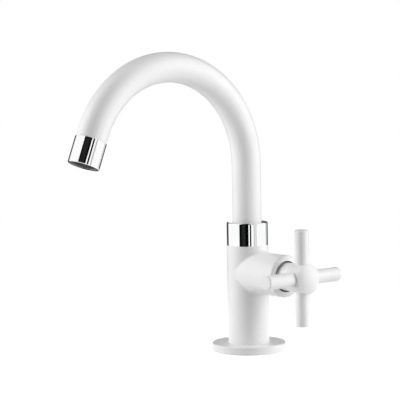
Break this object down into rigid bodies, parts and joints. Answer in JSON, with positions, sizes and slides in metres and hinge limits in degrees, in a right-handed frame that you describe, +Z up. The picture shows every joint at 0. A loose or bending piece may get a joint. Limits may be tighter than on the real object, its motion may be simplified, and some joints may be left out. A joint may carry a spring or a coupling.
{
  "type": "basin tap",
  "caption": "Deck-mounted basin tap with a swivelling swan-neck spout, a straight column and a quarter-turn cross handle on a side valve.",
  "frame": {"origin": "middle of the face that stands on the deck, on the column's axis", "axes": "+Z up along the column, -Y the way the spout reaches at rest, +X from the column out to the handle"},
  "size_m": [0.098, 0.1947, 0.2755],
  "materials": {
    "white_paint": "smooth gloss",
    "chrome": "polished",
    "brass": "turned",
    "steel": "plain",
    "rubber": "matt",
    "ceramic": "lapped",
    "bearing_plastic": "matt",
    "insert_plastic": "matt"
  },
  "bodies": {
    "tap": {"base_flange": "white_paint", "base_gasket": "rubber", "tap_body": "white_paint", "threaded_shank": "brass", "fixing_gasket": "rubber", "fixing_washer": "steel", "back_nut": "brass", "swivel_collar": "chrome", "swivel_washer": "bearing_plastic", "spout_bush": "bearing_plastic", "headwork_body": "chrome", "headwork_seal": "rubber", "seat_gasket": "rubber", "fixed_disc": "ceramic", "thrust_washer": "bearing_plastic"},
    "spout": {"spout_tube": "white_paint", "spout_tail": "brass", "spout_ring_upper": "rubber", "spout_ring_lower": "rubber", "outlet_nipple": "brass", "aerator_housing": "chrome", "aerator_washer": "rubber", "jet_breaker": "insert_plastic", "flow_grid": "insert_plastic"},
    "handle": {"spindle": "brass", "spindle_ring_inner": "rubber", "spindle_ring_outer": "rubber", "spindle_clip": "steel", "moving_disc": "ceramic", "handle_hub": "white_paint", "handle_arm_top": "white_paint", "handle_arm_front": "white_paint", "handle_arm_bottom": "white_paint", "handle_arm_back": "white_paint", "hub_cap": "white_paint", "handle_screw": "steel"}
  },
  "joints": [
    {"name": "spout_swivel", "type": "hinge", "parent": "tap", "child": "spout", "pos_m": [0, 0, 0.08886], "axis": [0, 0, 1], "continuous": true},
    {"name": "handle_turn", "type": "hinge", "parent": "tap", "child": "handle", "pos_m": [0.05983, 0, 0.0596], "axis": [1, 0, 0], "range_deg": [0, 90]}
  ]
}
